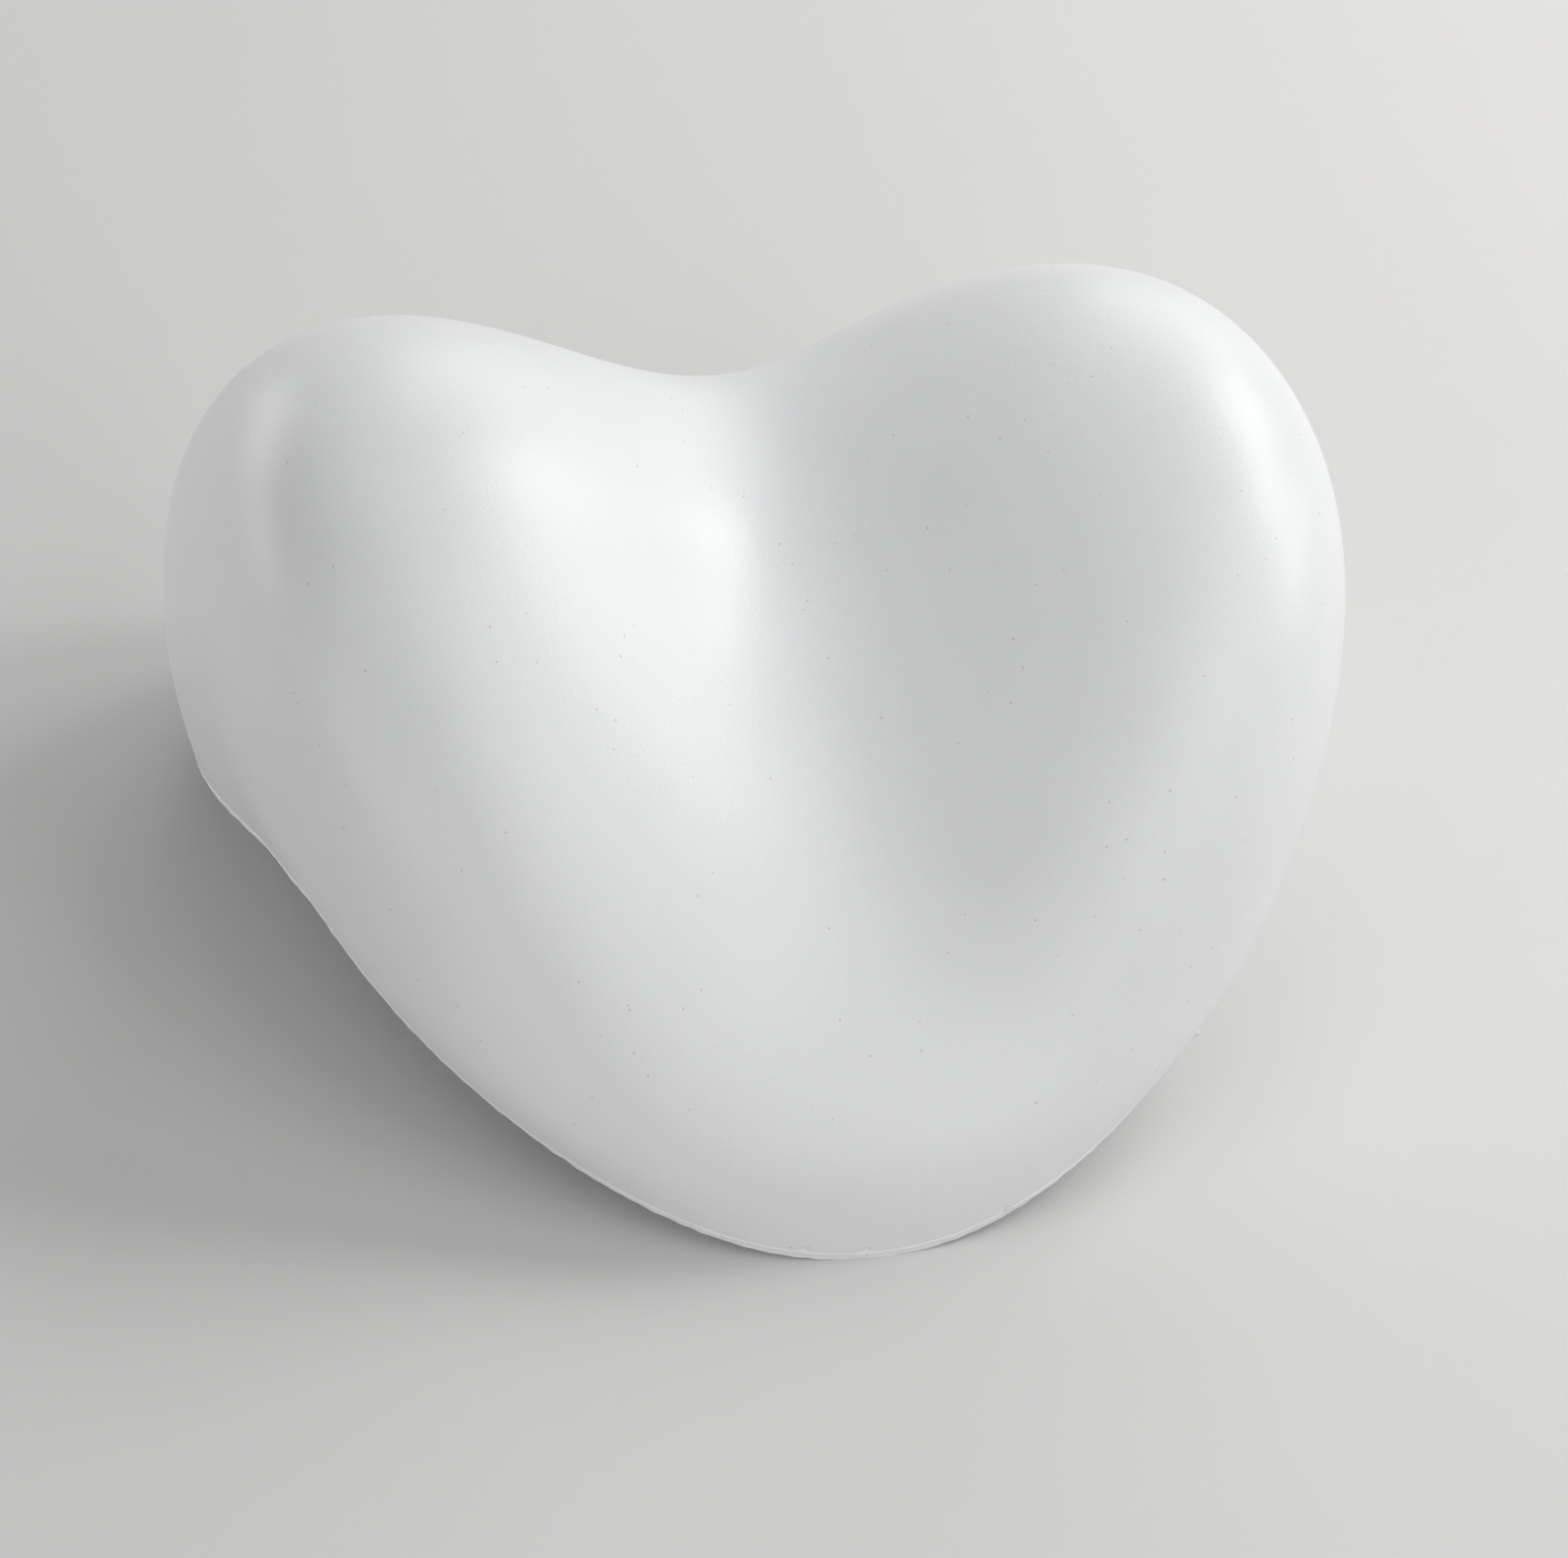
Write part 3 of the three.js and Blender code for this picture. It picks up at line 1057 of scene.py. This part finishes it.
# %% [markdown]
# ## The core: flexible polyurethane foam
#
# Inside the skin the same polyurethane is full of cells, 0.5 to 1 mm wide. Cut open it is cream,
# quite matt and pitted all over. It never shows on a whole pillow, but a reader may hide the skin.

# %% Flexible polyurethane foam, open celled
def foam_finish():
    """A dull cream, with painted shade that darkens it in the cells."""
    material, tree, place = new_finish("flexible_polyurethane_foam")
    cell_width, cell_depth = 0.9, 0.25
    cells = add_node(tree, "TexVoronoi", Vector=place, Scale=1 / cell_width)
    skeleton_and_cell_shade = add_node(tree, "MapRange", eased, Value=cells, From_Min=0.05, From_Max=0.6)
    # The cell hollows are painted a darker cream: painted shade in the cells.
    coloured = add_node(tree, "Mix", of_colours, Factor=skeleton_and_cell_shade, A="#d9d2bd", B="#f1ecdd")
    bumped = add_node(tree, "Bump", Height=skeleton_and_cell_shade, Distance=cell_depth / METRE)
    shader = add_node(
        tree, "BsdfPrincipled", Base_Color=coloured, Roughness=0.95, IOR=1.45, Normal=bumped
    )
    add_node(tree, "OutputMaterial", Surface=shader)
    return material


core_inside.data.materials.append(foam_finish())
print("finished with", core_inside.data.materials[0].name)

# %% [markdown]
# ## The sockets: injection-moulded polypropylene
#
# The hard sockets are white polypropylene. It comes out of a finely spark-eroded mould with a
# waxy half gloss and a slightly milky look.

# %% Injection-moulded polypropylene
def socket_finish():
    """A milky white with a waxy half gloss and a fine spark-eroded texture."""
    material, tree, place = new_finish("injection_moulded_polypropylene")
    spark_width, spark_height, tone_width = 0.25, 0.01, 9.0
    sparks = add_node(tree, "TexNoise", Vector=place, Scale=1 / spark_width)
    tone = add_node(tree, "TexNoise", Vector=place, Scale=1 / tone_width)
    coloured = add_node(tree, "Mix", of_colours, Factor=tone, A="#dfe1e1", B="#e9eaea")
    gloss = add_node(
        tree, "MapRange", Value=tone, From_Min=0.3, From_Max=0.7, To_Min=0.3, To_Max=0.4
    )
    bumped = add_node(tree, "Bump", Height=sparks, Distance=spark_height / METRE)
    shader = add_node(
        tree, "BsdfPrincipled", Base_Color=coloured, Roughness=gloss, IOR=1.49, Normal=bumped
    )
    add_node(tree, "OutputMaterial", Surface=shader)
    return material


# %% [markdown]
# ## The cups: plasticised vinyl
#
# Suction cups are soft PVC, clear with a faint blue that the maker adds against yellowing. The dish
# is polished so that it seals, so the cup shows what lies behind it, bent and a little cloudy.

# %% Clear plasticised PVC, injection moulded
def vinyl_finish():
    """Clear, faintly blue and glossy, with the slight orange peel of soft vinyl."""
    material, tree, place = new_finish("clear_plasticised_vinyl")
    peel_width, peel_height = 1.6, 0.015
    peel = add_node(tree, "TexNoise", Vector=place, Scale=1 / peel_width)
    coloured = add_node(tree, "Mix", of_colours, Factor=peel, A="#e0ebf1", B="#ebf2f6")
    gloss = add_node(
        tree, "MapRange", Value=peel, From_Min=0.3, From_Max=0.7, To_Min=0.05, To_Max=0.1
    )
    bumped = add_node(tree, "Bump", Height=peel, Distance=peel_height / METRE)
    shader = add_node(
        tree,
        "BsdfPrincipled",
        Base_Color=coloured,
        Roughness=gloss,
        IOR=1.53,
        Transmission_Weight=0.95,
        Normal=bumped,
    )
    add_node(tree, "OutputMaterial", Surface=shader)
    return material


# %% Finishes on the hard pieces and the cups
socket_material = socket_finish()
vinyl_material = vinyl_finish()
for site in sites:
    bpy.data.objects[f"socket_moulded_{site.name}"].data.materials.append(socket_material)
    bpy.data.objects[f"suction_cup_clear_{site.name}"].data.materials.append(vinyl_material)
print("finished with", socket_material.name, "and", vinyl_material.name)

# %% [markdown]
# ## A pale floor
#
# The plain pale floor runs on past the picture. It is matt and a little darker than the pillow, so
# that the white shape stands out and its shadow shows. The soft boxes light only the floor near
# them, so from a metre out the camera sees the background's own pale tone instead, and low views
# show no dark floor behind the pillow.

# %% The floor: board with a matt paint that was brushed on
def floor_finish():
    """A matt pale grey with faint brush marks and a slight drift in tone."""
    material, tree, place = new_finish("matt_painted_board")
    brush_width, brush_height, tone_width = 2.0, 0.02, 160.0
    brushing = add_node(tree, "TexNoise", Vector=place, Scale=1 / brush_width)
    tone = add_node(tree, "TexNoise", Vector=place, Scale=1 / tone_width)
    coloured = add_node(tree, "Mix", of_colours, Factor=tone, A="#e0dfde", B="#e3e2e1")
    bumped = add_node(tree, "Bump", Height=brushing, Distance=brush_height / METRE)
    shader = add_node(
        tree, "BsdfPrincipled", Base_Color=coloured, Roughness=0.6, IOR=1.45, Normal=bumped
    )
    fade_start, fade_end = 900.0, 1400.0
    away = add_node(tree, "VectorMath", {"operation": "LENGTH"}, Vector=place)
    far = add_node(tree, "MapRange", eased, Value=away, From_Min=fade_start, From_Max=fade_end)
    seen = add_node(tree, "LightPath").outputs["Is Camera Ray"]
    far_seen = add_node(tree, "Math", {"operation": "MULTIPLY"}, Value=[far, seen])
    pale = add_node(tree, "Emission", Color="#e1e1e1", Strength=1.0)
    shown = add_node(tree, "MixShader", Fac=far_seen, Shader=[shader, pale])
    add_node(tree, "OutputMaterial", Surface=shown)
    return material


def floor():
    half = 6.0
    corners = [(-half, -half, 0), (half, -half, 0), (half, half, 0), (-half, half, 0)]
    print("the floor is", 2 * half, "m wide")
    mesh = bpy.data.meshes.new("floor")
    mesh.from_pydata(corners, [], [(0, 1, 2, 3)])
    mesh.materials.append(floor_finish())
    return placed("floor", mesh)


floor()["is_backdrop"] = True

# %% [markdown]
# ## The camera
#
# The camera looks at the pillow as the photograph does: from in front and above, a little from the
# left of the middle, through a long lens. Its turns are the real ones, as the pillow is used with a
# level seat. No shift is needed: the camera stands where the middle of the fold falls on its pixel.

# %% The camera
picture_width, picture_height = 1715, 1704
fold_pixel = (885.5, 936.7)
looks_down, looks_aside, leans = np.radians([23.77, 16.70, 1.85])
lens, sensor = 282.93, 36.0
camera_distance = 2995.3


def camera():
    raise_and_lean = turn_about(0, np.pi / 2 - looks_down) @ turn_about(2, leans)
    facing = turn_about(2, -looks_aside) @ raise_and_lean
    right, up, behind = facing.T
    pixel = camera_distance * sensor / lens / picture_width
    fold_right = (fold_pixel[0] - picture_width / 2) * pixel
    fold_up = (picture_height / 2 - fold_pixel[1]) * pixel
    stands = camera_distance * behind - fold_right * right - fold_up * up
    made = placed("camera", bpy.data.cameras.new("camera"))
    made.data.lens = lens
    made.data.sensor_width = sensor
    turned = np.eye(4)
    turned[:3, :3] = tipping @ facing
    turned[:3, 3] = in_model(stands)
    made.matrix_world = Matrix(turned.tolist())
    return made


scene.camera = camera()
print("the camera stands at", [round(value, 3) for value in scene.camera.location])

# %% [markdown]
# ## Light
#
# The photograph's light comes softly from the right and a little behind, as through a window of two
# panes. It leaves the left flank of each lobe in shade and draws a satin highlight down its right
# flank. The rest is pale light from all round, which fills the shade and puts a thin bright line on
# the left side. Soft boxes stand for both: each is a square lamp that faces the pillow, small for
# the window and large for the rest.

# %% Soft boxes: azimuth and elevation in degrees, size in metres, power in watts
lamp_distance = 1.6
lit_place = Vector((0, 0, 0.06))
soft_boxes = {
    "window near pane": (100, 44, 0.4, 4.1),
    "window far pane": (124, 44, 0.4, 3.3),
    "window foot": (124, 32, 0.4, 2.2),
    "right": (90, 28, 0.6, 4.5),
    "right behind": (150, 28, 0.9, 3.6),
    "behind low": (150, 6, 0.8, 1.2),
    "left behind": (210, 6, 0.8, 5.0),
    "left low": (240, 6, 0.6, 2.2),
    "front left": (305, 12, 1.4, 4.4),
    "left above": (300, 50, 1.0, 2.1),
    "front right": (15, 28, 1.2, 5.5),
    "above": (45, 52, 1.0, 3.7),
}


def soft_box(name, azimuth, elevation, size, power):
    """A square lamp that faces the pillow. Azimuth 0 is in front of it and 90 on its right."""
    azimuth, elevation = np.radians([azimuth, elevation])
    aside = np.sin(azimuth) * np.cos(elevation)
    ahead = -np.cos(azimuth) * np.cos(elevation)
    toward = Vector((aside, ahead, np.sin(elevation)))
    lamp = bpy.data.lights.new(name, "AREA")
    lamp.size = size
    lamp.energy = power
    made = placed(name, lamp)
    made.location = lit_place + toward * lamp_distance
    made.rotation_mode = "QUATERNION"
    made.rotation_quaternion = toward.to_track_quat("Z", "Y")
    return made


for name, values in soft_boxes.items():
    soft_box(name, *values)
print("soft boxes:", ", ".join(soft_boxes))

# %% The room's own light, and a pale background past the floor
room_light = 0.1
background_light = 0.75


def room():
    world = bpy.data.worlds.new("pale room")
    world.use_nodes = True
    tree = world.node_tree
    tree.nodes.clear()
    path = add_node(tree, "LightPath").outputs
    seen = path["Is Camera Ray"]
    for kind in ("Is Glossy Ray", "Is Transmission Ray"):
        seen = add_node(tree, "Math", {"operation": "MAXIMUM"}, Value=[seen, path[kind]])
    strength = add_node(tree, "MapRange", Value=seen, To_Min=room_light, To_Max=background_light)
    background = add_node(tree, "Background", Color="#ffffff", Strength=strength)
    add_node(tree, "OutputWorld", Surface=background)
    scene.world = world


room()
scene.view_settings.view_transform = "Standard"
print("the room gives", room_light, "and its background shows as", background_light)

# %% Sizes, for the comparison with the CAD model
shown_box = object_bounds()
sizes = {
    "cad": [list(corner) for corner in cad_box],
    "shown": [list(corner) for corner in shown_box],
}
print("CAD box and shown box in mm:")
for name, box in sizes.items():
    print(" ", name, [[round(value * METRE, 1) for value in corner] for corner in box])
